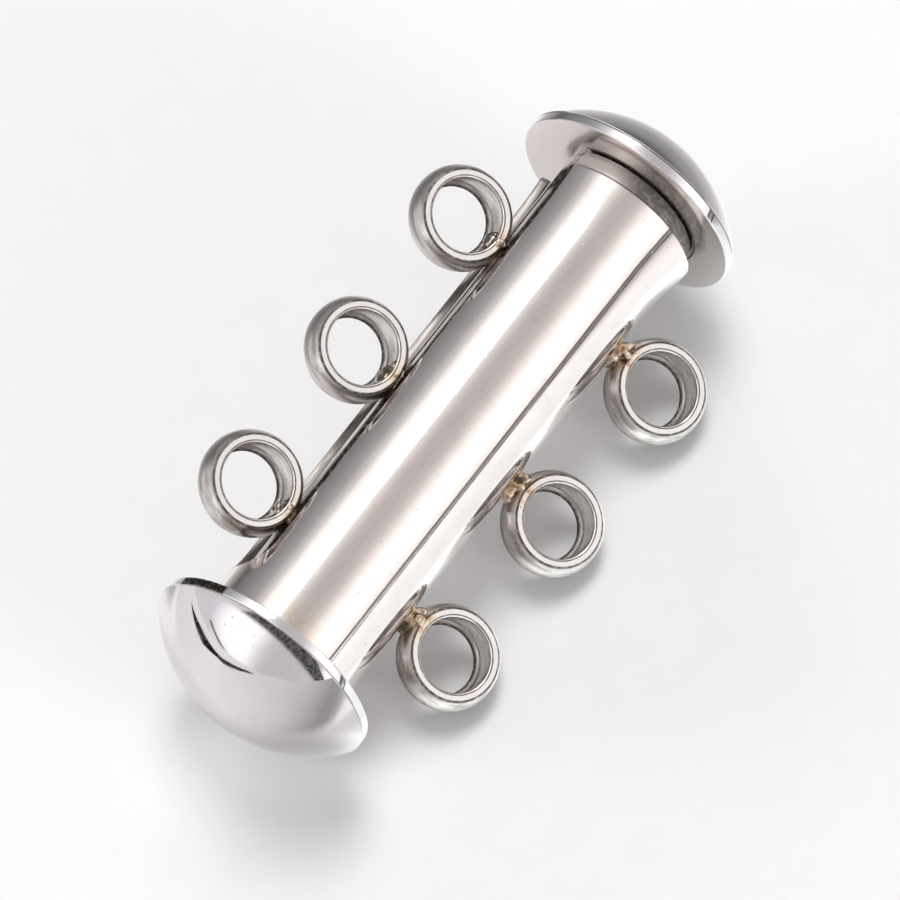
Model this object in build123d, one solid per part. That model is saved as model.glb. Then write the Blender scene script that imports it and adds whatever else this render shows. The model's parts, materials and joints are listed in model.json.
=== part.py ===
from build123d import *
import math
import os

os.makedirs("parts", exist_ok=True)

# Rings
rings_per_row = 3
ring_pitch = 5.0
ring_bore_diameter = 2.15
ring_bulge_diameter = 3.0
ring_face_diameter = 2.6
ring_length = 1.05

# Sleeve
sleeve_diameter = 4.6
sleeve_wall = 0.25
sleeve_length = 16.7
sleeve_ring_distance = 3.95
sleeve_ring_shift = 0.3
mouth_flare = 0.08
mouth_flare_length = 1.0
slot_width = 2.0
slot_end_to_cap = 1.4
slot_corner_radius = 0.3

# Slider
tube_wall = 0.2
tube_ring_distance = 3.42
tube_ring_shift = 0.12
tube_end_to_sleeve_cap = 0.35
tube_lead_in = 0.08

# Caps
cap_diameter = 6.8
cap_rim_thickness = 0.32
cap_dome_height = 1.72
cap_edge_radius = 0.06
collar_diameter = 4.6
collar_length = 0.42
undercut_width = 0.08
undercut_depth = 0.15
sleeve_spigot_length = 0.9
slider_spigot_length = 1.2

# Solder between a ring and its tube
solder_length = 1.5
solder_breadth = 0.9
solder_rise = 0.3

# Clearances
slide_clearance = 0.05
spigot_clearance = 0.04
seat_gap = 0.04
mouth_gap = 0.05

# Radii that follow from the sizes
ring_bore_radius = ring_bore_diameter / 2
ring_bulge_radius = ring_bulge_diameter / 2
ring_face_radius = ring_face_diameter / 2
ring_half = ring_length / 2
sleeve_radius = sleeve_diameter / 2
sleeve_bore_radius = sleeve_radius - sleeve_wall
tube_radius = sleeve_bore_radius - slide_clearance
tube_bore_radius = tube_radius - tube_wall
cap_radius = cap_diameter / 2
collar_radius = collar_diameter / 2
sleeve_spigot_radius = sleeve_bore_radius - spigot_clearance
slider_spigot_radius = tube_bore_radius - spigot_clearance

# Stations along the clasp, counted from the middle of the sleeve
sleeve_start = -sleeve_length / 2
sleeve_end = sleeve_length / 2
sleeve_cap_face = sleeve_start - seat_gap
slider_cap_face = sleeve_end + mouth_gap + collar_length
tube_start = sleeve_start + sleeve_spigot_length + tube_end_to_sleeve_cap
tube_end = sleeve_end + mouth_gap - seat_gap
slot_start = sleeve_start + slot_end_to_cap

# The clasp lies on both cap rims and rolls until the sleeve's rings touch the table
ring_reach = sleeve_ring_distance + ring_face_radius
ring_corner = math.hypot(ring_reach, ring_half)
rest_tilt = math.asin(cap_radius / ring_corner) - math.atan2(ring_half, ring_reach)


def turned(points, axis):
    outline = Polyline(*points, close=True)
    return revolve(make_face(outline), axis)


def along_axis(start, end, radius):
    blank = Cylinder(radius, end - start, rotation=(0, 90, 0))
    return Pos((start + end) / 2, 0, 0) * blank


def ring(x, y):
    bulge = ThreePointArc(
        (ring_face_radius, -ring_half), (ring_bulge_radius, 0), (ring_face_radius, ring_half)
    )
    top = Line((ring_face_radius, ring_half), (ring_bore_radius, ring_half))
    wall = Line((ring_bore_radius, ring_half), (ring_bore_radius, -ring_half))
    bottom = Line((ring_bore_radius, -ring_half), (ring_face_radius, -ring_half))
    section = Plane.XZ * make_face([bulge, top, wall, bottom])
    return Pos(x, y, 0) * revolve(section, Axis.Z)


def ring_bore(x, y):
    return Pos(x, y, 0) * Cylinder(ring_bore_radius, 2 * ring_length)


def solder_foot(x, side, inner, outer):
    base = Plane(origin=(x, side * inner, 0), x_dir=(1, 0, 0), z_dir=(0, side, 0))
    oval = base * Ellipse(solder_length / 2, solder_breadth / 2)
    return extrude(oval, outer - inner)


def ring_row(tube, side, distance, shift, surface, bore):
    solid = tube
    for number in range(rings_per_row):
        x = shift + (number - (rings_per_row - 1) / 2) * ring_pitch
        y = side * distance
        foot_top = distance - ring_bulge_radius + solder_rise
        solid += ring(x, y)
        solid += solder_foot(x, side, surface - sleeve_wall / 2, foot_top)
        solid -= ring_bore(x, y)
    return solid - along_axis(sleeve_start - 1, sleeve_end + 1, bore)


def domed_cap(face, outward, stem):
    arc_radius = (cap_radius**2 + cap_dome_height**2) / (2 * cap_dome_height)
    apex = cap_rim_thickness + cap_dome_height
    half_angle = math.asin(cap_radius / arc_radius) / 2
    halfway_x = apex - arc_radius + arc_radius * math.cos(half_angle)
    halfway_y = arc_radius * math.sin(half_angle)
    dome = ThreePointArc((cap_rim_thickness, cap_radius), (halfway_x, halfway_y), (apex, 0))
    points = [(cap_rim_thickness, cap_radius), (0, cap_radius)]
    depth = 0
    for length, radius in stem:
        points.append((depth, radius))
        depth -= length
        points.append((depth, radius))
    points.append((depth, 0))
    points.append((apex, 0))
    body = revolve(make_face([dome, Polyline(*points)]), Axis.X)
    rim = [e for e in body.edges() if abs(e.center().X) < 0.001 and e.length > 6.2 * cap_radius]
    body = fillet(rim, cap_edge_radius)
    if outward < 0:
        body = mirror(body, about=Plane.YZ)
    return Pos(face, 0, 0) * body


# Sleeve: a tube with a slightly flared mouth and a slot that is open at the mouth
flare_start = sleeve_end - mouth_flare_length
sleeve_tube = turned(
    [
        (sleeve_start, sleeve_bore_radius),
        (flare_start, sleeve_bore_radius),
        (sleeve_end, sleeve_bore_radius + mouth_flare),
        (sleeve_end, sleeve_radius + mouth_flare),
        (flare_start, sleeve_radius),
        (sleeve_start, sleeve_radius),
    ],
    Axis.X,
)
slot_round = slot_start + slot_width / 2
slot_run = sleeve_end + 1 - slot_round
slot_shape = Pos(slot_round + slot_run / 2, 0) * Rectangle(slot_run, slot_width)
slot_shape += Pos(slot_round, 0) * Circle(slot_width / 2)
slot_cut = Rot(-90, 0, 0) * extrude(slot_shape, sleeve_diameter)
sleeve_tube -= slot_cut
mouth_corners = [
    e
    for e in sleeve_tube.edges()
    if abs(e.center().X - sleeve_end) < 0.001 and abs(abs(e.center().Z) - slot_width / 2) < 0.001
]
sleeve_tube = fillet(mouth_corners, slot_corner_radius)
sleeve = ring_row(
    sleeve_tube, -1, sleeve_ring_distance, sleeve_ring_shift, sleeve_radius, sleeve_bore_radius
)

# Slider: the inner tube with its row of rings, which stand out through the slot
lead_start = tube_start + tube_lead_in
slider_tube = turned(
    [
        (tube_start, tube_bore_radius),
        (tube_end, tube_bore_radius),
        (tube_end, tube_radius),
        (lead_start, tube_radius),
        (tube_start, tube_radius - tube_lead_in),
    ],
    Axis.X,
)
slider = ring_row(slider_tube, 1, tube_ring_distance, tube_ring_shift, tube_radius, tube_bore_radius)

# Caps: domed buttons, each with a spigot inside its tube
sleeve_cap_stem = [(sleeve_spigot_length, sleeve_spigot_radius)]
sleeve_cap = domed_cap(sleeve_cap_face, -1, sleeve_cap_stem)
slider_cap_stem = [
    (undercut_width, collar_radius - undercut_depth),
    (collar_length - undercut_width, collar_radius),
    (slider_spigot_length, slider_spigot_radius),
]
slider_cap = domed_cap(slider_cap_face, 1, slider_cap_stem)

nodes = {
    "sleeve": sleeve,
    "sleeve_cap": sleeve_cap,
    "slider": slider,
    "slider_cap": slider_cap,
}

# Turn the clasp to its rest and set it over the origin
rest = Pos(0, 0, cap_radius) * Rot(math.degrees(rest_tilt), 0, 0)
rested = {name: rest * solid for name, solid in nodes.items()}
box = Compound(children=list(rested.values())).bounding_box()
centre = Pos(-box.center().X, -box.center().Y, -box.min.Z)
placed = {name: (centre * solid).solid() for name, solid in rested.items()}

for name, solid in placed.items():
    solid.label = name
    export_step(solid, f"parts/{name}.step")
    print(name, "solids", len(solid.solids()), "volume", round(solid.volume, 3))

# Figures for the record
print("rest tilt", round(math.degrees(rest_tilt), 3))
print("centre moved by", round(-box.center().X, 4), round(-box.center().Y, 4), round(-box.min.Z, 4))
whole = Compound(children=list(placed.values())).bounding_box()
print("size", [round(v, 3) for v in (whole.size.X, whole.size.Y, whole.size.Z)])
for row, side, distance, shift in (
    ("sleeve", -1, sleeve_ring_distance, sleeve_ring_shift),
    ("slider", 1, tube_ring_distance, tube_ring_shift),
):
    for number in range(rings_per_row):
        x = shift + (number - (rings_per_row - 1) / 2) * ring_pitch
        spot = centre * rest * Pos(x, side * distance, 0)
        print(row, number + 1, [round(v, 4) for v in spot.position])
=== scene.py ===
# %% [markdown]
# This lesson dresses a three-strand slide-lock clasp, of the kind that closes a bracelet.
# The real one is stainless steel: a slotted sleeve, an inner tube that slides in it, two rows
# of soldered rings, and a domed button on each end. The measured model is loaded first. It is
# the frame: nothing in it is moved, and every new piece is laid exactly where it says.

import json
import math

import bmesh
import bpy
from mathutils import Matrix, Vector, noise


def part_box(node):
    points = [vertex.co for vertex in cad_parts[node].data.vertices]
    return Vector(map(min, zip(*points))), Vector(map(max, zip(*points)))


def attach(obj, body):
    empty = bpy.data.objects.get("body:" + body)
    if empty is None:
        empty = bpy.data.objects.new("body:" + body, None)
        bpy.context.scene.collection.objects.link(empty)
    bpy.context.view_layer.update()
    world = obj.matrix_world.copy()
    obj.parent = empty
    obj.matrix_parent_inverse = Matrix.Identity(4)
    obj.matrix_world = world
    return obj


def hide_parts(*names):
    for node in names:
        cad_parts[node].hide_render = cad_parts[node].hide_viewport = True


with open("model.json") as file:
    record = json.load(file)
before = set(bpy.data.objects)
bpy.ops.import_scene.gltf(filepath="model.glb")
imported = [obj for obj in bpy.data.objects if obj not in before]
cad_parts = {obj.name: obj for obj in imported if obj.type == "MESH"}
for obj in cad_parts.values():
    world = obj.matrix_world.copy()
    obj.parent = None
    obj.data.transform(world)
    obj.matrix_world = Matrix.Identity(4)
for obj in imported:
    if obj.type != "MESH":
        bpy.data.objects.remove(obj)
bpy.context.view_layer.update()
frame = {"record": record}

# %% [markdown]
# The clasp lies on its two buttons, rolled over until three of its rings touch the table. It
# would be awkward to model it in that pose. So each piece is drawn in the clasp's own frame, in
# millimetres: X along the tube from the middle of the sleeve, Y towards the slider's rings, and
# Z square to the rings. One matrix, read from the frame, then lays the finished mesh in place.

# %% The clasp's own frame
MM = 0.001
holes = {m["name"]: m for m in frame["record"]["mounts"]}
hole_axis = Vector(holes["slider_ring_1"]["axis"])
rest_roll = math.atan2(-hole_axis.y, hole_axis.z)
sleeve_low, sleeve_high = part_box("sleeve")
button_low, button_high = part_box("sleeve_cap")
tube_axis = (button_low + button_high) / 2
sleeve_middle = Vector(((sleeve_low.x + sleeve_high.x) / 2, tube_axis.y, tube_axis.z))
seat = (
    Matrix.Translation(sleeve_middle)
    @ Matrix.Rotation(rest_roll, 4, "X")
    @ Matrix.Scale(MM, 4)
)
own_frame = seat.inverted()
print("rolled by", round(math.degrees(rest_roll), 2), "degrees")


def station(node, side):
    """How far along the tube a node's low (0) or high (1) end lies, in mm from the middle."""
    return (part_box(node)[side].x - sleeve_middle.x) / MM


sleeve_start = station("sleeve", 0)
sleeve_end = station("sleeve", 1)
tube_start = station("slider", 0)
print("sleeve from", round(sleeve_start, 3), "to", round(sleeve_end, 3))
print("slider tube from", round(tube_start, 3))

# %% [markdown]
# Every piece is drawn as a bmesh and then needs the same few steps: it becomes an object, is
# laid in place and is shaded smooth with crisp edges. One helper does that, so that no piece
# can be laid in another way. It also says which body the piece rides.

# %% Laying a piece in place
crisp_angle = math.radians(30)


def lay(bm, name, body, material):
    """Makes a piece of a bmesh that was drawn in the clasp's own frame."""
    mesh = bpy.data.meshes.new(name)
    bm.to_mesh(mesh)
    bm.free()
    mesh.transform(seat)
    mesh.shade_smooth()
    mesh.set_sharp_from_angle(angle=crisp_angle)
    piece = bpy.data.objects.new(name, mesh)
    bpy.context.scene.collection.objects.link(piece)
    even = piece.modifiers.new("even shading", "WEIGHTED_NORMAL")
    even.keep_sharp = True
    mesh.materials.append(material)
    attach(piece, body)
    print(name, len(mesh.polygons), "faces")
    return piece


# %% [markdown]
# Finishes are made of shader nodes. The next helpers add a node and fill its sockets in one
# call. An input is either a plain value or another node's socket, so that a finish reads as a
# short list of steps.

# %% Helpers for shader nodes
def fill(tree, socket, value):
    """Links a socket to another node's socket, or gives it a plain value."""
    if isinstance(value, bpy.types.NodeSocket):
        tree.links.new(value, socket)
    else:
        socket.default_value = value


def add(tree, kind, inputs=None, **settings):
    """Adds a shader node with its settings and inputs."""
    made = tree.nodes.new(kind)
    for key, value in settings.items():
        setattr(made, key, value)
    for key, value in (inputs or {}).items():
        fill(tree, made.inputs[key], value)
    return made


def math_node(tree, operation, a, b=0.0, c=0.0):
    return add(tree, "ShaderNodeMath", {0: a, 1: b, 2: c}, operation=operation).outputs[0]


def times(tree, *values):
    """The product of two or more numbers."""
    product = values[0]
    for value in values[1:]:
        product = math_node(tree, "MULTIPLY", product, value)
    return product


# %% [markdown]
# The other helpers are the steps that the finishes are made of. One maps a number from one
# range to another, one mixes two colours, one gives a colour that follows a number, and one
# makes noise. The last reads a number that a mesh carries for each of its points.

# %% The steps of a finish
def spread(tree, value, low, high, start=0.0, end=1.0, kind="SMOOTHSTEP"):
    """Maps low..high to start..end, and stays inside."""
    made = add(
        tree,
        "ShaderNodeMapRange",
        {"Value": value, "From Min": low, "From Max": high, "To Min": start, "To Max": end},
        interpolation_type=kind,
    )
    return made.outputs["Result"]


def blend(tree, factor, a, b, mode="MIX"):
    """Mixes two colours."""
    made = add(tree, "ShaderNodeMix", data_type="RGBA", blend_type=mode)
    for socket, value in ((0, factor), (6, a), (7, b)):
        fill(tree, made.inputs[socket], value)
    return made.outputs[2]


def ramp(tree, value, stops):
    """A colour that follows stops of (place, colour). The first and last stop are its ends."""
    made = add(tree, "ShaderNodeValToRGB", {"Fac": value})
    elements = made.color_ramp.elements
    for place, colour in stops[1:-1]:
        elements.new(place).color = colour
    for element, (place, colour) in ((elements[0], stops[0]), (elements[-1], stops[-1])):
        element.position = place
        element.color = colour
    return made.outputs["Color"]


def noise_at(tree, where, scale, detail=3.0, rough=0.55):
    made = add(
        tree,
        "ShaderNodeTexNoise",
        {"Vector": where, "Scale": scale, "Detail": detail, "Roughness": rough},
    )
    return made.outputs["Fac"]


def marked(tree, name):
    """The number that a mesh carries under this name."""
    return add(tree, "ShaderNodeAttribute", attribute_name=name).outputs["Fac"]


# %% [markdown]
# Polished steel has hardly a colour of its own. What gives it a look is the small unevenness of
# its surface: faint lines that the polishing wheel left along the tube, pinprick pits, and
# slightly duller patches. So the steel is a metallic shader whose roughness and bump are driven
# by noise. The noise is placed in the clasp's own frame and stretched along the tube.

# %% Polished steel
warm_steel = (0.77, 0.70, 0.675)
cool_steel = (0.72, 0.69, 0.70)
oxide_colour = (0.12, 0.10, 0.09, 1)
# The colour of the painted shade and painted dark reflections in creases, gaps and along edges.
painted_shade_colour = (0.03, 0.025, 0.02, 1)
bump_depth = 0.004 * MM


def own_coordinates(tree, stretch=(1.0, 1.0, 1.0)):
    """Object coordinates in mm, turned into the clasp's own frame."""
    where = add(tree, "ShaderNodeTexCoord").outputs["Object"]
    turned_back = add(
        tree,
        "ShaderNodeMapping",
        {
            "Vector": where,
            "Location": own_frame.to_translation(),
            "Rotation": own_frame.to_euler(),
            "Scale": own_frame.to_scale(),
        },
    ).outputs[0]
    stretched = add(
        tree, "ShaderNodeVectorMath", {0: turned_back, 1: stretch}, operation="MULTIPLY"
    )
    return stretched.outputs[0]


def polished(tree, plain, pit, colour, dull):
    """Polished metal: duller in patches, and dark in the pits."""
    patches = noise_at(tree, plain, 0.9, 3.0)
    roughness = spread(tree, patches, 0.35, 0.7, dull, dull + 0.05)
    roughness = math_node(tree, "ADD", roughness, times(tree, pit, 0.25))
    darker = tuple(0.94 * c for c in colour)
    colour = blend(tree, spread(tree, patches, 0.3, 0.75), (*colour, 1), (*darker, 1))
    colour = blend(tree, times(tree, pit, 0.7), colour, oxide_colour)
    return colour, roughness


# %% [markdown]
# Three things lie over the polish. Some places were never polished, and are satin with dark
# specks. Where a ring was soldered, the heat left a straw to brown tint. And painted shade and
# painted dark reflections lie as dark lines in grooves and along edges, and darken gaps, dents
# and undersides. Each mesh says where, with a number for each of its points, and each layer
# changes the colour and the roughness there.

# %% The layers over the polish
tint_stops = (
    # share of the soldering heat, colour that the steel is multiplied by
    (0.00, (1.0, 1.0, 1.0, 1)),
    (0.20, (1.0, 0.98, 0.93, 1)),
    (0.38, (1.0, 0.92, 0.79, 1)),
    (0.55, (0.86, 0.67, 0.50, 1)),
    (0.70, (0.48, 0.34, 0.26, 1)),
    (0.85, (0.20, 0.13, 0.10, 1)),
    (1.00, (0.12, 0.10, 0.10, 1)),
)


def with_worn_places(tree, along, colour, roughness, worn, satin, oxide):
    bare = marked(tree, "unpolished")
    colour = blend(tree, bare, colour, worn)
    roughness = math_node(tree, "MULTIPLY_ADD", bare, satin, roughness)
    cloud = spread(tree, noise_at(tree, along, 5.0, 5.0, 0.7), 0.44, 0.62)
    dirt = times(tree, cloud, bare, oxide)
    colour = blend(tree, dirt, colour, oxide_colour)
    return colour, math_node(tree, "MULTIPLY_ADD", dirt, 0.2, roughness)


def with_heat_tint(tree, plain, colour, roughness):
    mottle = spread(tree, noise_at(tree, plain, 4.0, 4.0, 0.6), 0.25, 0.75, 0.45, 1.35)
    warmth = times(tree, marked(tree, "soldering_heat"), mottle)
    colour = blend(tree, 1.0, colour, ramp(tree, warmth, tint_stops), "MULTIPLY")
    return colour, math_node(tree, "ADD", roughness, times(tree, warmth, 0.10))


# Painted shade: darkens the colour, unevenly, where a mesh is marked shadowed.
def with_painted_shade(tree, plain, colour, roughness):
    uneven = spread(tree, noise_at(tree, plain, 7.0, 3.0), 0.35, 0.55, 0.75, 1.0)
    dark = times(tree, marked(tree, "shadowed"), uneven)
    colour = blend(tree, dark, colour, painted_shade_colour)
    return colour, math_node(tree, "MULTIPLY_ADD", dark, 0.4, roughness)


# %% [markdown]
# One function puts the layers together. The pieces differ only in how fine their polish is, how
# worn their unpolished places are, and which way the grain runs: along a tube, round a ring, or
# nowhere in particular on a dome or a lump of solder.

# %% The recipe for a steel
tube_grain = (0.08, 1, 1)
even_grain = (1, 1, 1)


def steel(name, worn, satin, oxide, dull, lines, colour=warm_steel, heat=True, grain=tube_grain):
    """worn is the colour of the unpolished places, satin their extra roughness and oxide their
    share of dark specks. dull is the lowest roughness and lines the depth of the grain."""
    material = bpy.data.materials.new(name)
    material.use_nodes = True
    tree = material.node_tree
    shader = tree.nodes["Principled BSDF"]
    plain = own_coordinates(tree)
    if grain == "wound":
        along = add(tree, "ShaderNodeAttribute", attribute_name="grain").outputs["Vector"]
    else:
        along = own_coordinates(tree, grain)
    pit = spread(tree, noise_at(tree, plain, 14.0, 2.0, 0.5), 0.70, 0.78)
    colour, roughness = polished(tree, plain, pit, colour, dull)
    colour, roughness = with_worn_places(tree, along, colour, roughness, worn, satin, oxide)
    if heat:
        colour, roughness = with_heat_tint(tree, plain, colour, roughness)
    colour, roughness = with_painted_shade(tree, plain, colour, roughness)
    polish = noise_at(tree, along, 9.0, 4.0, 0.6)
    height = math_node(tree, "ADD", times(tree, polish, lines), times(tree, pit, -0.6))
    bump = add(tree, "ShaderNodeBump", {"Height": height, "Distance": bump_depth, "Strength": 1.0})
    tree.links.new(colour, shader.inputs["Base Color"])
    tree.links.new(roughness, shader.inputs["Roughness"])
    tree.links.new(bump.outputs[0], shader.inputs["Normal"])
    shader.inputs["Metallic"].default_value = 1.0
    print("finish", material.name, len(tree.nodes), "nodes")
    return material


# %% [markdown]
# The sleeve and the domes are polished the finest. The slider's tube is greyer and more
# streaked, because it is rubbed whenever the clasp opens. The rings' grain is wound round them,
# the domes were never heated, and the solder froze with a coarse skin.

# %% The five finishes
tube_finish = steel(
    "tube_steel", (0.34, 0.31, 0.295, 1), satin=0.25, oxide=0.6, dull=0.035, lines=0.12
)
slider_finish = steel(
    "slider_steel",
    (0.95, 0.90, 0.87, 1),
    satin=0.3,
    oxide=0.75,
    dull=0.10,
    lines=0.5,
    colour=(0.66, 0.60, 0.575),
)
ring_finish = steel(
    "ring_steel",
    (0.60, 0.56, 0.54, 1),
    satin=0.28,
    oxide=0.6,
    dull=0.05,
    lines=0.10,
    colour=(0.76, 0.715, 0.70),
    grain="wound",
)
dome_finish = steel(
    "dome_steel",
    (0.74, 0.69, 0.67, 1),
    satin=0.17,
    oxide=0.0,
    dull=0.03,
    lines=0.05,
    colour=cool_steel,
    heat=False,
    grain=even_grain,
)
solder_finish = steel(
    "solder_steel",
    (0.74, 0.68, 0.62, 1),
    satin=0.05,
    oxide=0.9,
    dull=0.10,
    lines=1.6,
    grain=even_grain,
)

# %% [markdown]
# The sleeve is a thin tube with a slot along one side, closed at one end and open at the mouth.
# The slot starts round and ends at the mouth with rounded corners, the lower one larger. The
# mouth flares a little, most at its lower side, and was cut slightly askew. Small functions
# give these forms, so that the mesh and its marks agree.

# %% The sleeve's measures
sleeve_radius = 2.3
sleeve_wall = 0.25
mouth_length = 1.0
mouth_flare = 0.06
mouth_flare_length = 1.8
low_flare = 0.2
low_flare_length = 1.7
mouth_skew = 0.17
skew_turn = math.radians(144)
slot_width = 2.0
slot_end_to_cap = 1.4
upper_corner = 0.1
lower_corner = 0.25
edge_round = 0.035
slot_start = sleeve_start + slot_end_to_cap
slot_round = slot_start + slot_width / 2
print("slot from", round(slot_start, 3), "to", round(sleeve_end, 3))


def slot_half(x, corner):
    """Half the slot's width at a station: a round end, straight sides and a rounded mouth."""
    half = slot_width / 2
    if x <= slot_start:
        return 0.0
    if x < slot_round:
        return math.sqrt(max(half**2 - (slot_round - x) ** 2, 0.0))
    into_corner = x - (sleeve_end - corner)
    if into_corner > 0:
        return half + corner - math.sqrt(max(corner**2 - into_corner**2, 0.0))
    return half


def share_into(x, length):
    """0 until this length before the mouth, then up to 1 at the mouth."""
    return max(0.0, x - (sleeve_end - length)) / length


def flared(x):
    """The sleeve's outer radius, which opens a little towards the mouth."""
    return sleeve_radius + mouth_flare * share_into(x, mouth_flare_length) ** 2


def set_back(y, z):
    """How far the mouth's edge lies back at a place round the tube."""
    return mouth_skew * (1 + math.cos(math.atan2(z, -y) - skew_turn)) / 2


# %% [markdown]
# A few tools serve all the pieces. One lays out rows of points that crowd together where an
# outline curves. One writes the numbers that the finishes read, and counts the points that got
# one. One tells how near a point is to a soldered joint, and one keeps a number between 0 and
# 1. The last rounds sharp edges, because a real edge always catches light.

# %% Rows, marks and rounded edges
def rows(start, end, count, crowd=None):
    """Stations from start to end, crowded towards one end where the outline is steep there."""
    shares = [i / count for i in range(count)]
    if crowd == "start":
        shares = [1 - math.cos(s * math.pi / 2) for s in shares]
    if crowd == "end":
        shares = [math.sin(s * math.pi / 2) for s in shares]
    return [start + (end - start) * s for s in shares]


def mark(mesh, name, rule):
    """Writes a number for each point of a mesh, worked out from its place in the clasp's frame."""
    marks = mesh.attributes.new(name, "FLOAT", "POINT")
    for i, vertex in enumerate(mesh.vertices):
        marks.data[i].value = rule(own_frame @ vertex.co)
    found = sum(each.value > 0 for each in marks.data)
    print(mesh.name, name, "on", found, "of", len(mesh.vertices), "points")


def near(spots, reach):
    """1 at a spot, falling to 0 at reach: how much of the soldering heat a point got."""
    return lambda point: max(0.0, *(1 - (point - spot).length / reach for spot in spots))


def clamped(value):
    return min(1.0, max(0.0, value))


def round_edges(bm, radius, segments=3, sharper=40, where=None):
    sharp = [e for e in bm.edges if e.is_manifold and e.calc_face_angle() > math.radians(sharper)]
    sharp = [e for e in sharp if where is None or all(where(v.co) for v in e.verts)]
    bmesh.ops.bevel(
        bm, geom=sharp, offset=radius, segments=segments, profile=0.5, affect="EDGES", material=-1
    )


# %% [markdown]
# A boolean cut for the slot would leave long thin faces that show as creases in a mirror
# finish. So the sleeve is made as a tinsmith would: a flat grid is cut to the slot's outline
# and rolled up. Each row of the grid goes round the tube from one side of the slot to the
# other. The sheet's outside is checked, and solidify then gives the wall its thickness inwards.

# %% The sleeve rolled up
around = 256
stretches = (
    # start, end, number of rows, end that they crowd to
    (sleeve_start, slot_start, 8, None),
    (slot_start, slot_round, 14, "start"),
    (slot_round, sleeve_end - mouth_length, 60, None),
    (sleeve_end - mouth_length, sleeve_end - lower_corner, 8, None),
    (sleeve_end - lower_corner, sleeve_end - upper_corner, 10, None),
    (sleeve_end - upper_corner, sleeve_end, 8, "end"),
)
places = [place for stretch in stretches for place in rows(*stretch)]
places.append(sleeve_end)
bm = bmesh.new()
bmesh.ops.create_grid(bm, x_segments=len(places) - 1, y_segments=around, size=1)
for vertex in bm.verts:
    x = places[round((vertex.co.x + 1) / 2 * (len(places) - 1))]
    radius = flared(x)
    corner = upper_corner if vertex.co.y > 0 else lower_corner
    turn = vertex.co.y * (math.pi - math.asin(slot_half(x, corner) / radius))
    radius += low_flare * share_into(x, low_flare_length) * max(0.0, math.cos(turn)) ** 5
    y, z = -radius * math.cos(turn), radius * math.sin(turn)
    vertex.co = (x - share_into(x, mouth_length) * set_back(y, z), y, z)
bmesh.ops.remove_doubles(bm, verts=bm.verts, dist=0.0001)
bmesh.ops.recalc_face_normals(bm, faces=bm.faces)
bm.faces.ensure_lookup_table()
some_face = bm.faces[0]
if some_face.normal.yz.dot(some_face.calc_center_median().yz) < 0:
    bmesh.ops.reverse_faces(bm, faces=bm.faces[:])
bmesh.ops.solidify(bm, geom=bm.faces[:], thickness=sleeve_wall)
bmesh.ops.recalc_face_normals(bm, faces=bm.faces)
radii = [math.hypot(v.co.y, v.co.z) for v in bm.verts]
print("sleeve radii", round(min(radii), 3), "to", round(max(radii), 3))
round_edges(bm, edge_round)
sleeve = lay(bm, "sleeve_tube", "sleeve", tube_finish)
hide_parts("sleeve")

# %% [markdown]
# The slot was sawn and its walls were never polished. Near the mouth a thin line of painted
# shade also lies on the outside, right along the slot's edge.

# %% Marks on the sleeve
shade_line_width = 0.1
shade_line_start = 4.5


def in_the_cut(point):
    """True on the slot's cut walls."""
    return point.y > 0 and point.yz.length < flared(point.x) - edge_round / 2


def slot_edge(point):
    """1 right beside the slot, towards the mouth."""
    if point.y < 0 or in_the_cut(point):
        return 0.0
    if point.x < slot_round:
        distance = math.hypot(point.x - slot_round, point.z) - slot_width / 2
    else:
        distance = abs(point.z) - slot_width / 2
    return float(distance < shade_line_width and point.x > shade_line_start)


mark(sleeve.data, "unpolished", lambda point: float(in_the_cut(point)))
# Painted shade: the dark line along the slot's edge near the mouth.
mark(sleeve.data, "shadowed", slot_edge)

# %% [markdown]
# The rest of the tube work is turned: an outline is drawn once and spun round an axis. The
# inner tube is what slides, and it runs up to the button. Its outline has many points along the
# tube, which do nothing for the shape but let the marks change along its length.

# %% The slider's tube
tube_radius = 2.0
tube_wall = 0.2
lead_in = 0.08
button_depth = 2.05
button_seat = station("slider_cap", 1) - button_depth
slider_rows = 80
turn_steps = 256


def turned(outline, axis=(1, 0, 0), closed=True, steps=turn_steps):
    """Spins an outline a full turn round an axis through the origin."""
    bm = bmesh.new()
    chain = [bm.verts.new(point) for point in outline]
    ends = chain[1:] + chain[:1] if closed else chain[1:]
    for a, b in zip(chain, ends):
        bm.edges.new((a, b))
    bmesh.ops.spin(
        bm,
        geom=bm.verts[:] + bm.edges[:],
        cent=(0, 0, 0),
        axis=axis,
        angle=2 * math.pi,
        steps=steps,
        use_merge=True,
    )
    bmesh.ops.remove_doubles(bm, verts=bm.verts, dist=0.0001)
    bmesh.ops.recalc_face_normals(bm, faces=bm.faces)
    return bm


bm = turned(
    [
        (tube_start, tube_radius - lead_in, 0),
        *[(x, tube_radius, 0) for x in rows(tube_start + lead_in, button_seat, slider_rows)],
        (button_seat, tube_radius, 0),
        (button_seat, tube_radius - tube_wall, 0),
        (tube_start, tube_radius - tube_wall, 0),
    ]
)
round_edges(bm, edge_round)
slider = lay(bm, "slider_tube", "slider", slider_finish)
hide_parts("slider")

# %% [markdown]
# In the slot the tube is satin, because the polishing wheel doesn't reach it there. Painted
# shade lies on it as dark lines in the narrow gap beside the sleeve's lip: one thick line on the
# half towards the closed end, two thin ones on the other, and a dark patch at the mouth.

# %% Marks on the slider's tube
satin_half_width = 1.05
shade_top = 0.5
thick_line_from = 0.15
thin_line = (-0.06, 0.1)
upper_line_from = 0.36
two_lines_from = 0.8
mouth_shade = (sleeve_end - 0.75, sleeve_end - 0.05)


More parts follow.
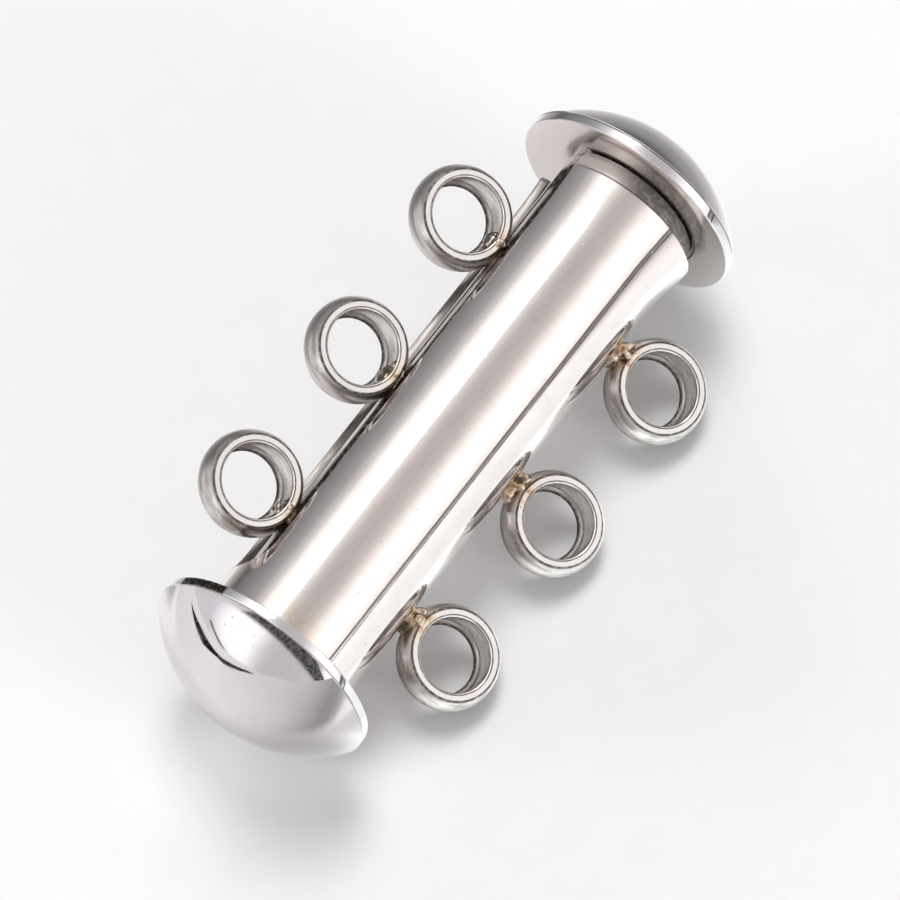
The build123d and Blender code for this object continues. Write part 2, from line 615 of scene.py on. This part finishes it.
def slot_lines(point):
    """1 on the painted dark lines and on the painted shade at the mouth."""
    if point.y < 0 or point.x > mouth_shade[1] or point.z > shade_top:
        return 0.0
    if point.x > mouth_shade[0]:
        return float(point.z > -0.1)
    if point.x > two_lines_from:
        return float(thin_line[0] < point.z < thin_line[1] or point.z > upper_line_from)
    return float(point.z > thick_line_from)


def in_the_slot(point):
    return float(point.y > 0 and abs(point.z) < satin_half_width)


mark(slider.data, "unpolished", in_the_slot)
# Painted shade: dark lines in the gap under the sleeve's lip, and a dark patch at the mouth.
mark(slider.data, "shadowed", slot_lines)

# %% [markdown]
# Each button is a flat disc with a domed face, and a stem that is pressed into its tube. Both
# are spun from one outline. The dome is one arc, worked out from its width and height. A narrow
# crease parts it from the rim, and is kept out of the rounding so that it stays crisp. The flat
# side was never polished. Painted shade darkens the crease and the collar's foot, and a painted
# dark reflection lies on a stretch of the sleeve button's rim.

# %% The dome's arc
button_radius = 3.4
rim_thickness = 0.32
dome_height = 1.72
rim_round = 0.05
crease = 0.29
crease_width = 0.03
collar_radius = 2.3
collar_foot = 0.02
foot_radii = (collar_radius - 0.04, collar_radius + collar_foot, collar_radius + 0.06)
collar_length = 0.42
seat_gap = 0.04
spigot_gap = 0.04
dome_rows = 40
rim_shadow = (-80, -50)


def dome(face, outward):
    """The arc from the rim to the middle of the dome."""
    sphere = (button_radius**2 + dome_height**2) / (2 * dome_height)
    widest = math.asin(button_radius / sphere)
    base = rim_thickness + dome_height - sphere
    points = []
    for i in range(dome_rows + 1):
        turn = widest * (1 - i / dome_rows)
        rise = base + sphere * math.cos(turn)
        points.append((face + outward * rise, sphere * math.sin(turn), 0))
    return points


# %% [markdown]
# One function turns a button from its outline: up the stem, across the flat side, over the rim
# and the crease, and along the dome to its middle. It also marks the places where the polish
# is missing, and where painted shade and a painted dark reflection lie.

# %% Turning a button
def button(name, body, face, outward, stem_length, stem_radius, node):
    """A button whose flat side is at face. outward is 1 or -1, the way that its dome points."""
    stem_end = face - outward * stem_length
    outline = [(stem_end, 0, 0), (stem_end, stem_radius, 0), (face, stem_radius, 0)]
    outline += [(face, radius, 0) for radius in foot_radii]
    outline += [
        (face, button_radius, 0),
        (face + outward * (crease - crease_width), button_radius, 0),
        (face + outward * crease, button_radius - crease_width, 0),
    ]
    outline += dome(face, outward)
    bm = turned(outline, closed=False)

    def off_the_crease(co):
        return abs(outward * (co.x - face) - crease) > 0.035

    round_edges(bm, rim_round, sharper=25, where=off_the_crease)
    piece = lay(bm, name, body, dome_finish)

    def dullness(point):
        """1 on the flat inner face, 0 on the polished outside."""
        return float(outward * (point.x - face) < 0.01)

    def darkness(point):
        """Painted shade in the crease and round the collar's foot, and a painted dark reflection
        on a stretch of one rim.
        """
        depth = outward * (point.x - face)
        radius = point.yz.length
        if radius > button_radius / 2 and abs(depth - crease) < 0.005:
            return 0.8 if node == "slider_cap" else 0.2
        if node == "sleeve_cap":
            turn = math.degrees(math.atan2(-point.y, point.z))
            on_rim = radius > button_radius - 0.02 and 0 < depth < crease - 0.02
            return float(on_rim and rim_shadow[0] < turn < rim_shadow[1])
        by_the_slot = point.y > 0 and point.z < slot_width / 2
        at_foot = depth < 0.01 and abs(radius - collar_radius - collar_foot) < 0.01
        return float(at_foot and not by_the_slot)

    mark(piece.data, "unpolished", dullness)
    # Painted shade in the crease and at the collar's foot, painted dark reflection on the rim.
    mark(piece.data, "shadowed", darkness)
    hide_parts(node)
    return piece


# %% [markdown]
# The two buttons differ only in which way they point and how wide and long their stems are. A
# stem is a little narrower than the inside of its tube. The sleeve's button sits against the
# sleeve, and the slider's leaves room for the collar.

# %% The two buttons
sleeve_face = sleeve_start - seat_gap
slider_face = station("slider_cap", 1) - rim_thickness - dome_height
sleeve_stem = sleeve_radius - sleeve_wall - spigot_gap
slider_stem = tube_radius - tube_wall - spigot_gap
button("sleeve_button", "sleeve", sleeve_face, -1, 0.9, sleeve_stem, "sleeve_cap")
button(
    "slider_button", "slider", slider_face, 1, collar_length + 1.2, slider_stem, "slider_cap"
)

# %% [markdown]
# The collar fills the space between the sleeve's mouth and the button. In the photograph the
# slot runs on through it, so it is an open band: a small rectangle is spun most of the way round
# the tube, from one side of the slot to the other. Its front edge follows the sleeve's mouth. It
# tapers towards the button. Painted shade darkens the groove behind it, and a painted dark
# reflection darkens the side away from the slot.

# %% The collar
mouth_gap = 0.05
undercut_width = 0.045
collar_taper = 0.09
half_gap = math.asin(slot_width / 2 / collar_radius)
lower_gap = math.radians(25)
collar_back = slider_face - undercut_width
collar_front = sleeve_end + mouth_gap
dark_side_shade = 0.68
dark_side_start = 1.3
dark_side_fade = 0.9
bm = bmesh.new()
corners = (
    (collar_front, tube_radius, 0),
    (collar_back, tube_radius, 0),
    (collar_back, collar_radius - collar_taper, 0),
    (collar_front, collar_radius, 0),
)
bm.faces.new([bm.verts.new(corner) for corner in corners])
to_first_side = Matrix.Rotation(half_gap, 3, "X")
bmesh.ops.rotate(bm, verts=bm.verts, cent=(0, 0, 0), matrix=to_first_side)
bmesh.ops.spin(
    bm,
    geom=bm.faces[:],
    cent=(0, 0, 0),
    axis=(1, 0, 0),
    angle=2 * (math.pi - half_gap) - lower_gap,
    steps=turn_steps,
)
bmesh.ops.recalc_face_normals(bm, faces=bm.faces)
round_edges(bm, edge_round)
for vertex in bm.verts:
    if vertex.co.x < (collar_front + collar_back) / 2:
        vertex.co.x -= set_back(vertex.co.y, vertex.co.z)
collar = lay(bm, "slider_collar", "slider", dome_finish)


def collar_shade(point):
    """Painted shade in the groove behind the collar, and a painted dark reflection on the side
    away from the slot.
    """
    if point.x > collar_back - edge_round / 2:
        return 1.0
    return dark_side_shade * clamped((dark_side_start - point.y) / dark_side_fade)


mark(collar.data, "unpolished", lambda point: 2.0)
# Painted shade in the groove and a painted dark reflection on the side away from the slot.
mark(collar.data, "shadowed", collar_shade)

# %% [markdown]
# The six rings are short lengths of barrel-shaped tube, each soldered on by its side. One
# outline serves them all: a bulged outside, flat polished ends, a shallow slope down to the
# lip, and a hole that widens inside. Extra points beside each corner keep the dark lines thin.

# %% The rings' outline
bulge_radius = 1.5
face_radius = 1.3
near_lip = 1.045
far_lip = 0.96
lip_depth = 0.04
lip_slope = 0.06
hole_waist = 1.095
ring_edge = 0.025
line_width = 0.022
beside = 0.015
ring_steps = 128
bulge_rows = 16
ring_half = holes["sleeve_ring_1"]["dims"]["length_mm"] / 2
print("rings", 2 * ring_half, "mm long")


def ring_outline(half):
    sagitta = bulge_radius - face_radius
    arc = (half**2 + sagitta**2) / (2 * sagitta)
    widest = math.asin(half / arc)
    points = []
    for i in range(bulge_rows + 1):
        turn = widest * (1 - 2 * i / bulge_rows)
        points.append((bulge_radius - arc + arc * math.cos(turn), 0, arc * math.sin(turn)))
    for lip, end in ((far_lip, -1), (near_lip, 1)):
        rim = [
            # radius, depth under the flat face
            (face_radius - ring_edge - 0.017, 0),
            (lip + lip_slope + line_width + beside, 0),
            (lip + lip_slope + line_width, 0),
            (lip + lip_slope, 0),
            (lip + lip_slope - beside, 0.15 * lip_depth),
            (lip, lip_depth),
            (lip + 0.01, lip_depth + 0.03),
            (lip + 0.035, lip_depth + 0.06),
            (hole_waist, lip_depth + 0.12),
        ]
        for radius, depth in rim if end < 0 else rim[::-1]:
            points.append((radius, 0, end * (half - depth)))
    return points


# %% [markdown]
# The wheel reached the flat ends, but hardly the bulged outside and not the hole. Painted dark
# reflections follow the rim, the slope and the lip as dark lines, and painted shade darkens the
# undersides of the sleeve's rings.
# The streaks run round the ring, so the mesh carries coordinates that are wound round it.

# %% Marks on the rings
barrel_wear = 0.75
hole_wear = 0.5
line_shade = 0.9
under_shade = 0.55


def ring_wear(centre):
    def rule(point):
        radius = (point - centre).xy.length
        if radius > face_radius + ring_edge:
            return barrel_wear
        inside = abs((point - centre).z) < ring_half - lip_depth
        return hole_wear if radius < hole_waist + 0.02 and inside else 0.0

    return rule


# Painted dark reflections along the rim, slope and lip, and painted shade under the sleeve's
# rings.
def ring_lines(centre):
    def rule(point):
        radius = (point - centre).xy.length
        height = (point - centre).z
        depth = ring_half - abs(height)
        lip = near_lip if height > 0 else far_lip
        slope = lip + lip_slope
        at_rim = depth < ring_edge + 0.002 and radius > face_radius - ring_edge - 0.005
        at_slope = depth < 0.004 and slope - 0.005 < radius < slope + line_width + 0.005
        at_lip = radius < lip + (0.015 if height > 0 else 0.04)
        if at_rim or at_slope or at_lip:
            return line_shade
        under = centre.y < 0 and radius > face_radius + ring_edge
        return under_shade * clamped((0.15 - height) / 0.3) if under else 0.0

    return rule


def wind_grain(mesh, centre, inward):
    """Coordinates that run round the ring, so that streaks follow it. They meet at the joint."""
    grain = mesh.attributes.new("grain", "FLOAT_VECTOR", "POINT")
    for i, vertex in enumerate(mesh.vertices):
        point = own_frame @ vertex.co - centre
        turn = math.atan2(point.x, -inward * point.y)
        grain.data[i].vector = (turn * bulge_radius * 0.2 + centre.x, point.xy.length, point.z)


# %% [markdown]
# Each ring is spun round its own axis and set down at the hole that the frame gives. The mark
# for the soldering heat is strongest at the joint, a little above the ring's middle.

# %% The six rings
joint_reach = 0.85
joint_height = 0.35
ring_centres = {}
for name, hole in holes.items():
    body = name.split("_")[0]
    centre = own_frame @ Vector(hole["pos_m"])
    ring_centres[name] = centre
    outline = ring_outline(hole["dims"]["length_mm"] / 2)
    bm = turned(outline, (0, 0, 1), steps=ring_steps)
    round_edges(bm, ring_edge, 2, sharper=35)
    bmesh.ops.translate(bm, verts=bm.verts, vec=centre)
    ring = lay(bm, name, body, ring_finish)
    inward = -math.copysign(1, centre.y)
    joint = centre + Vector((0, inward * bulge_radius, joint_height))
    mark(ring.data, "soldering_heat", near([joint], joint_reach))
    mark(ring.data, "unpolished", ring_wear(centre))
    mark(ring.data, "shadowed", ring_lines(centre))
    wind_grain(ring.data, centre, inward)

# %% [markdown]
# The solder is a lump that ran into the corner between a ring and its tube and froze there. A
# few overlapping balls give its rough outline. A voxel remesh makes them one skin, and a smooth
# modifier draws it tight, as surface tension does. Both are applied while the mesh is still in
# millimetres, because a voxel can't be smaller than a tenth of one unit.

# %% A lump of solder
voxel = 0.035
off_the_skin = 0.12
lumpiness = 0.06
solder_joint_height = 0.3
solder_heat = 0.7
solder_wear = 0.7
lump_rows = (
    # along the tube, out from the tube's skin, up, radius
    (0.00, 0.02, 0.04, 0.40),
    (-0.24, 0.05, 0.12, 0.24),
    (0.22, 0.03, 0.20, 0.22),
    (0.05, 0.12, 0.36, 0.20),
    (-0.10, -0.02, -0.24, 0.26),
    (0.34, 0.12, 0.26, 0.17),
)


def one_skin(bm, name):
    """Replaces overlapping balls by one smooth skin."""
    mesh = bpy.data.meshes.new(name)
    bm.to_mesh(mesh)
    rough = bpy.data.objects.new(name + "_rough", mesh)
    bpy.context.scene.collection.objects.link(rough)
    skin = rough.modifiers.new("one skin", "REMESH")
    skin.mode = "VOXEL"
    skin.voxel_size = voxel
    tight = rough.modifiers.new("surface tension", "SMOOTH")
    tight.factor = 0.5
    tight.iterations = 4
    depsgraph = bpy.context.evaluated_depsgraph_get()
    frozen = bpy.data.meshes.new_from_object(rough.evaluated_get(depsgraph))
    bm.clear()
    bm.from_mesh(frozen)
    bpy.data.objects.remove(rough)


def solder(name, body, centre, tube_skin, seed):
    side = math.copysign(1, centre.y)
    bm = bmesh.new()
    for x, out, up, radius in lump_rows:
        wobble = noise.random_unit_vector() * 0.05
        spot = Vector((centre.x + x, side * (tube_skin + off_the_skin + out), up)) + wobble
        ball = Matrix.Translation(spot)
        bmesh.ops.create_icosphere(bm, subdivisions=3, radius=radius, matrix=ball)
    one_skin(bm, name)

    def lumpy(point):
        large = noise.noise(point * 3.5 + Vector((seed, 0, 0)))
        return large + 0.6 * noise.noise(point * 9 + Vector((0, seed, 0)))

    for vertex in bm.verts:
        vertex.co += vertex.normal * lumpy(vertex.co) * lumpiness
    piece = lay(bm, name, body, solder_finish)
    joint = centre + Vector((0, -side * bulge_radius, solder_joint_height))
    warmth = near([joint], joint_reach)
    mark(piece.data, "soldering_heat", lambda point: solder_heat * warmth(point))
    mark(piece.data, "unpolished", lambda point: solder_wear)
    # Painted shade in the dents of the lump's skin.
    mark(piece.data, "shadowed", lambda point: min(0.8, max(0.0, -3 * lumpy(point) - 0.4)))


# %% [markdown]
# Each lump gets its own wobble and its own unevenness, so that no two are alike. The draws are
# seeded, so that they come out the same in every run.

# %% The six lumps of solder
noise.seed_set(7)
for seed, (name, centre) in enumerate(ring_centres.items()):
    body = name.split("_")[0]
    skin_radius = sleeve_radius if body == "sleeve" else tube_radius
    solder(name.replace("ring", "solder"), body, centre, skin_radius, seed)

# %% [markdown]
# The soldering also tinted the tubes under the rings. They get the same mark, measured from
# each ring's joint, so the tint runs on from the ring over the tube. A faint straw stain also
# crosses the sleeve near its closed end.

# %% Heat tint on the tubes
tint_reach = 0.7
stain_reach = 0.75
stain_share = 0.42
stained = [Vector((-7.6, 1.0, 2.07)), Vector((-7.75, 0.5, 2.25)), Vector((-8.1, 0.0, 2.3))]
for tube, body, skin_radius in (
    (sleeve, "sleeve", sleeve_radius),
    (slider, "slider", tube_radius),
):
    spots = []
    for name, centre in ring_centres.items():
        if name.startswith(body):
            spots.append(Vector((centre.x, math.copysign(skin_radius, centre.y), 0)))
    joints, stain = near(spots, tint_reach), near(stained, stain_reach)
    mark(
        tube.data, "soldering_heat", lambda point: max(joints(point), stain_share * stain(point))
    )

# %% [markdown]
# A mirror shows its room, so the room matters as much as the steel. The clasp was photographed
# in a white tent. From the way its tube reflects, the tent can be drawn: seen along the tube it
# is dim low down behind the slider's rings, white above, light grey over the top and white
# again in front. The world shader paints this by direction, as brightness over the angle round
# the tube. The dim side is a touch cooler.

# %% The tent round the tube
tent_rows = (
    # degrees round the tube from straight up towards the sleeve's rings, brightness
    (-180, 0.30),
    (-92, 0.14),
    (-84, 0.24),
    (-72, 0.30),
    (-60, 0.37),
    (-48, 0.49),
    (-36, 0.84),
    (-28, 1.40),
    (-16, 1.75),
    (-6, 1.50),
    (1, 1.05),
    (8, 0.78),
    (15, 0.66),
    (24, 0.64),
    (34, 0.72),
    (41, 0.88),
    (48, 1.20),
    (58, 1.60),
    (78, 1.60),
    (90, 1.25),
    (180, 0.90),
)
brightest = 2.0
cool_side = -30
world = bpy.data.worlds.new("light_tent")
bpy.context.scene.world = world
world.use_nodes = True
tree = world.node_tree
tree.nodes.clear()
direction = add(tree, "ShaderNodeTexCoord").outputs["Generated"]
axes = add(tree, "ShaderNodeSeparateXYZ", {0: direction})
minus_y = times(tree, axes.outputs["Y"], -1.0)
round_tube = math_node(tree, "ARCTAN2", minus_y, axes.outputs["Z"])
tent_stops = []
for angle, brightness in tent_rows:
    grey = brightness / brightest
    cool = 0.035 if angle < cool_side else 0.0
    colour = (grey, grey * (0.99 + cool), grey * (0.985 + 2 * cool), 1)
    tent_stops.append(((angle + 180) / 360, colour))
wall = ramp(tree, spread(tree, round_tube, -math.pi, math.pi, kind="LINEAR"), tent_stops)
print("tent drawn with", len(tent_rows), "steps round the tube")

# %% [markdown]
# The sleeve's button looks the other way, towards the front of the tent, which the tube hardly
# sees. There the dome shows white patches, a dark crescent under its upper rim where the tent
# stood open, and a thin dark arc. They are painted as round patches of direction.

# %% The front of the tent
def towards(azimuth, elevation):
    """A direction. Azimuth 0 is -Y and 90 is +X."""
    a, e = math.radians(azimuth), math.radians(elevation)
    return Vector((math.sin(a) * math.cos(e), -math.cos(a) * math.cos(e), math.sin(e)))


def patch(azimuth, elevation, inner, outer):
    """1 within inner degrees of a direction, 0 beyond outer degrees."""
    facing = add(
        tree,
        "ShaderNodeVectorMath",
        {0: direction, 1: towards(azimuth, elevation)},
        operation="DOT_PRODUCT",
    ).outputs["Value"]
    return spread(tree, facing, math.cos(math.radians(outer)), math.cos(math.radians(inner)))


def outside(factor):
    return math_node(tree, "SUBTRACT", 1.0, factor)


def shade(value, tint=(1.0, 1.0, 1.0)):
    return tuple(value * t / brightest for t in tint) + (1,)


# Cloth at the front, with a white patch and a dimmer one towards the corner.
front = blend(tree, patch(-108, 19, 3, 30), shade(0.88, (0.96, 0.96, 1.0)), shade(1.6))
front = blend(tree, patch(-70, 8, 8, 34), front, shade(0.74, (0.99, 0.98, 1.0)))
# The opening: grey above its arch, and a mottled dark crescent just inside the arch.
arch = patch(-102.5, -16.8, 49.0, 52.5)
front = blend(tree, arch, shade(0.84, (1.0, 0.98, 0.96)), front)
front = blend(tree, patch(-15, 5, 30, 34), front, shade(1.5))
mottle = spread(tree, noise_at(tree, direction, 26.0, 4.0, 0.7), 0.42, 0.60, 0.82, 1.0)
crescent = times(tree, outside(arch), patch(-91.5, -4.1, 43.8, 44.8), mottle)
front = blend(tree, crescent, front, shade(0.04, (1.0, 0.97, 1.0)))
# A seam of the cloth, seen as a thin arc.
seam = times(tree, patch(-27.7, 70.4, 90.4, 91.0), outside(patch(-27.7, 70.4, 88.6, 89.3)))
front = blend(tree, times(tree, seam, patch(-122, 1, 11, 13)), front, shade(0.14))
print("front of the tent painted,", len(tree.nodes), "nodes so far")

# %% [markdown]
# The front takes over from the rest of the tent on the side of the sleeve's button. At the
# other end the bands round the tube meet in a point, which an even patch softens. Two lamps glow
# through the cloth. Only reflections see the tent: the table is lit by an even glow, and the
# camera sees plain paper.

# %% What each ray sees
lamp_share = 3.0
table_glow = 0.56
to_front = spread(tree, axes.outputs["X"], -0.05, -0.35)
tent = blend(tree, to_front, wall, front)
tent = blend(tree, patch(90, 0, 4, 24), tent, shade(0.75))
tent = blend(tree, patch(-95, 66, 5, 16), tent, shade(1.6))
tent = blend(tree, patch(108, 58, 6, 13), tent, shade(brightest * lamp_share))
room = add(tree, "ShaderNodeBackground", {"Color": tent, "Strength": brightest})
soft = add(tree, "ShaderNodeBackground", {"Color": (1, 1, 1, 1), "Strength": table_glow})
plain_paper = {"Color": (0.90, 0.895, 0.91, 1), "Strength": 1.0}
paper = add(tree, "ShaderNodeBackground", plain_paper)
rays = add(tree, "ShaderNodeLightPath")
for_mirrors = {0: rays.outputs["Is Glossy Ray"], 1: soft.outputs[0], 2: room.outputs[0]}
lit = add(tree, "ShaderNodeMixShader", for_mirrors)
for_camera = {0: rays.outputs["Is Camera Ray"], 1: lit.outputs[0], 2: paper.outputs[0]}
both = add(tree, "ShaderNodeMixShader", for_camera)
add(tree, "ShaderNodeOutputWorld", {"Surface": both.outputs[0]})
print("world has", len(tree.nodes), "nodes")

# %% [markdown]
# The table is white paper. Its fibres are too fine to see one by one and only take the flatness
# out of it. In the polished steel the paper isn't evenly bright, because the lamps light it more
# behind the clasp than beside it and the clasp shades it in front. Reflections therefore see
# it multiplied by a brightness that follows the place on the table. The camera doesn't.

# %% The paper
paper_finish = bpy.data.materials.new("paper")
paper_finish.use_nodes = True
tree = paper_finish.node_tree
on_table = add(tree, "ShaderNodeTexCoord").outputs["Object"]
fibres = spread(tree, noise_at(tree, on_table, 900.0, 3.0), 0.3, 0.7)
paper_colour = blend(tree, fibres, (0.704, 0.697, 0.702, 1), (0.712, 0.705, 0.710, 1))
across = add(tree, "ShaderNodeSeparateXYZ", {0: on_table})
x_across, y_across = across.outputs["X"], across.outputs["Y"]
print("paper coloured,", len(tree.nodes), "nodes so far")


def steps(tree, value, stops, highest):
    """A brightness that follows a row of (place from 0 to 1, brightness) stops."""
    greys = [(place, (level / highest,) * 3 + (1,)) for place, level in stops]
    return times(tree, ramp(tree, value, greys), highest)


def less(tree, value, amount):
    return math_node(tree, "SUBTRACT", value, amount)


# %% [markdown]
# Behind the clasp the brightness falls with the distance from it. Round the sleeve's button it
# follows the angle, and in front, beside the sleeve's rings, the distance from the tube.

# %% The paper as the steel sees it
back_stops = (
    (0.0, 0.95), (0.05, 1.2), (0.09, 1.2), (0.16, 0.72), (0.3, 0.46), (0.6, 0.33), (1.0, 0.2)
)
left_stops = (
    (0.0, 1.0),
    (0.20, 1.1),
    (0.35, 1.15),
    (0.50, 1.0),
    (0.62, 0.88),
    (0.70, 0.72),
    (0.745, 0.58),
    (0.775, 0.46),
    (0.805, 0.46),
    (0.83, 0.7),
    (0.85, 1.3),
    (0.88, 1.5),
    (0.92, 1.3),
    (1.0, 1.0),
)
front_stops = (
    (0.0, 0.5), (0.45, 0.5), (0.53, 0.9), (0.59, 1.4), (0.67, 1.0), (0.75, 0.7), (0.85, 0.3),
    (1.0, 0.0),
)
beyond_x = less(tree, x_across, 0.009)
beyond_y = times(tree, less(tree, y_across, 0.005), spread(tree, x_across, -0.014, -0.010))
beyond = math_node(tree, "MAXIMUM", beyond_x, beyond_y)
back_light = steps(tree, times(tree, beyond, 25.0), back_stops, 1.5)

from_button = math_node(tree, "ADD", x_across, 0.0095)
turn = math_node(tree, "ARCTAN2", from_button, times(tree, y_across, -1.0))
round_button = spread(tree, turn, -math.pi, 0.0, kind="LINEAR")
left_light = steps(tree, round_button, left_stops, 2.0)
left_side = spread(tree, x_across, -0.0135, -0.0115, 1.0, 0.0)
left_change = times(tree, left_side, less(tree, left_light, 1.0))
back_light = times(tree, back_light, math_node(tree, "ADD", 1.0, left_change))

in_front = times(
    tree,
    spread(tree, x_across, -0.012, -0.007),
    spread(tree, x_across, 0.009, 0.0125, 1.0, 0.0),
)
front_place = spread(tree, y_across, -0.010, 0.0, kind="LINEAR")
front_light = times(tree, steps(tree, front_place, front_stops, 1.5), in_front)

mirrored = add(tree, "ShaderNodeLightPath").outputs["Is Glossy Ray"]
seen_light = math_node(tree, "ADD", back_light, front_light)
table_light = spread(tree, mirrored, 0.0, 1.0, 1.0, seen_light, "LINEAR")
off_the_tube = spread(tree, y_across, -0.002, 0.0, 1.0, 0.0)
whiter = times(tree, mirrored, times(tree, in_front, off_the_tube))
paper_colour = blend(tree, whiter, paper_colour, (0.668, 0.705, 0.715, 1))
paper_colour = add(tree, "ShaderNodeVectorMath", {0: paper_colour}, operation="SCALE")
tree.links.new(table_light, paper_colour.inputs["Scale"])
shader = tree.nodes["Principled BSDF"]
tree.links.new(paper_colour.outputs[0], shader.inputs["Base Color"])
shader.inputs["Roughness"].default_value = 0.6
shader.inputs["Specular IOR Level"].default_value = 0.0
print("paper has", len(tree.nodes), "nodes")

# %% [markdown]
# A mirror-bright tube also shows where the paper ends: a thin dark line that runs the whole
# length of the sleeve. A narrow dark strip on the table makes it. Two more strips give the dark
# strokes on the near button, and they stand for stained cards. Only reflections see the strips.

# %% The table and the strips
table_size = 1.5
strip_rows = (
    # name, width, depth, x, y, degrees turned
    ("paper_edge", 0.32, 0.008, 0.14, -0.039, 0),
    ("card_side", 0.018, 0.036, -0.0415, 0.033, 12),
    ("card_front", 0.070, 0.009, -0.072, 0.0115, 8),
)
just_above = 0.00002
strip_finish = bpy.data.materials.new("dark_gap")
strip_finish.use_nodes = True
tree = strip_finish.node_tree
on_strip = add(tree, "ShaderNodeTexCoord").outputs["Object"]
stains = spread(tree, noise_at(tree, on_strip, 260.0, 4.0, 0.7), 0.5, 0.62)
strip_colour = blend(tree, stains, (0.01, 0.01, 0.01, 1), (0.22, 0.20, 0.20, 1))
shader = tree.nodes["Principled BSDF"]
tree.links.new(strip_colour, shader.inputs["Base Color"])
shader.inputs["Specular IOR Level"].default_value = 0.0


def table_piece(name, width, depth, place, material, turned_by=0):
    bm = bmesh.new()
    bmesh.ops.create_grid(bm, x_segments=1, y_segments=1, size=0.5)
    bmesh.ops.scale(bm, verts=bm.verts, vec=(width, depth, 1))
    turn = Matrix.Rotation(math.radians(turned_by), 3, "Z")
    bmesh.ops.rotate(bm, verts=bm.verts, cent=(0, 0, 0), matrix=turn)
    bmesh.ops.translate(bm, verts=bm.verts, vec=place)
    mesh = bpy.data.meshes.new(name)
    bm.to_mesh(mesh)
    bm.free()
    piece = bpy.data.objects.new(name, mesh)
    bpy.context.scene.collection.objects.link(piece)
    mesh.materials.append(material)
    return piece


table = table_piece("table", table_size, table_size, (0, 0, 0), paper_finish)
for name, width, depth, x, y, turned_by in strip_rows:
    strip = table_piece(name, width, depth, (x, y, just_above), strip_finish, turned_by)
    strip.visible_camera = False
    strip.visible_diffuse = False
    strip.visible_shadow = False
print("table and", len(strip_rows), "strips")

# %% [markdown]
# The shadows tell where the lamps stood: two overhead, behind the clasp, and a low glow from
# three sides that lightens the floor beside the tube. They are wide suns, so the shadows are
# soft. They light only the table, because the metal already mirrors the painted tent.

# %% The lamps
lit_things = bpy.data.collections.new("lit_by_the_lamps")
lit_things.objects.link(table)
lamp_width = 26
lamp_rows = (
    # name, azimuth, elevation, strength
    ("lamp_high", 120, 68, 1.42),
    ("lamp_behind", 108, 55, 0.60),
    ("lamp_low_right", 140, 10, 1.35),
    ("lamp_low_front", 0, 10, 1.85),
    ("lamp_low_left", -140, 10, 1.4),
)


def lamp_object(name, data, aimed_back):
    """A lamp that lights the table only. aimed_back points from what it lights to the lamp."""
    lamp = bpy.data.objects.new(name, data)
    bpy.context.scene.collection.objects.link(lamp)
    lamp.rotation_mode = "QUATERNION"
    lamp.rotation_quaternion = aimed_back.to_track_quat("Z", "Y")
    lamp.light_linking.receiver_collection = lit_things
    return lamp


for name, azimuth, elevation, strength in lamp_rows:
    lamp_data = bpy.data.lights.new(name, "SUN")
    lamp_data.energy = strength
    lamp_data.angle = math.radians(lamp_width)
    lamp_object(name, lamp_data, towards(azimuth, elevation))
print("lit by", len(lamp_rows), "wide lamps")

# %% [markdown]
# The sleeve's polished dome throws some light back on the paper beside it, which a renderer
# without caustics leaves out. A small soft spot stands in for it.

# %% The dome's glow on the paper
glow_data = bpy.data.lights.new("dome_glow", "SPOT")
glow_data.energy = 0.0017
glow_data.spot_size = math.radians(32)
glow_data.spot_blend = 1.0
glow_data.shadow_soft_size = 0.0015
glow = lamp_object("dome_glow", glow_data, Vector((-5.9, 4.8, 8)))
glow.location = Vector((-16, 5, 8)) * MM
print("glow at", [round(v / MM, 2) for v in glow.location], "mm")

# %% [markdown]
# The camera stands where the photograph was taken from: a long lens, about 60 degrees above the
# table, looking along the slider's side with a slight roll. A long lens keeps the far button as
# large as the near one.

# %% The camera
camera_azimuth = -47.28
camera_elevation = 59.63
camera_roll = -8.84
camera_distance = 0.350
lens_mm = 509.4
aim = Vector((-0.3806, -0.1134, 3.1967)) * MM
back = towards(camera_azimuth, camera_elevation)
camera_data = bpy.data.cameras.new("camera")
camera = bpy.data.objects.new("camera", camera_data)
bpy.context.scene.collection.objects.link(camera)
camera_data.lens = lens_mm
camera_data.sensor_width = 36
camera_data.clip_start = 0.01
camera_data.clip_end = 10
camera.rotation_mode = "QUATERNION"
level = (-back).to_track_quat("-Z", "Y").to_matrix()
rolled = level @ Matrix.Rotation(math.radians(camera_roll), 3, "Z")
camera.rotation_quaternion = rolled.to_quaternion()
camera.location = aim + back * camera_distance
bpy.context.scene.camera = camera
bpy.context.scene.view_settings.view_transform = "Standard"
print("camera", round(camera_distance / MM), "mm away")
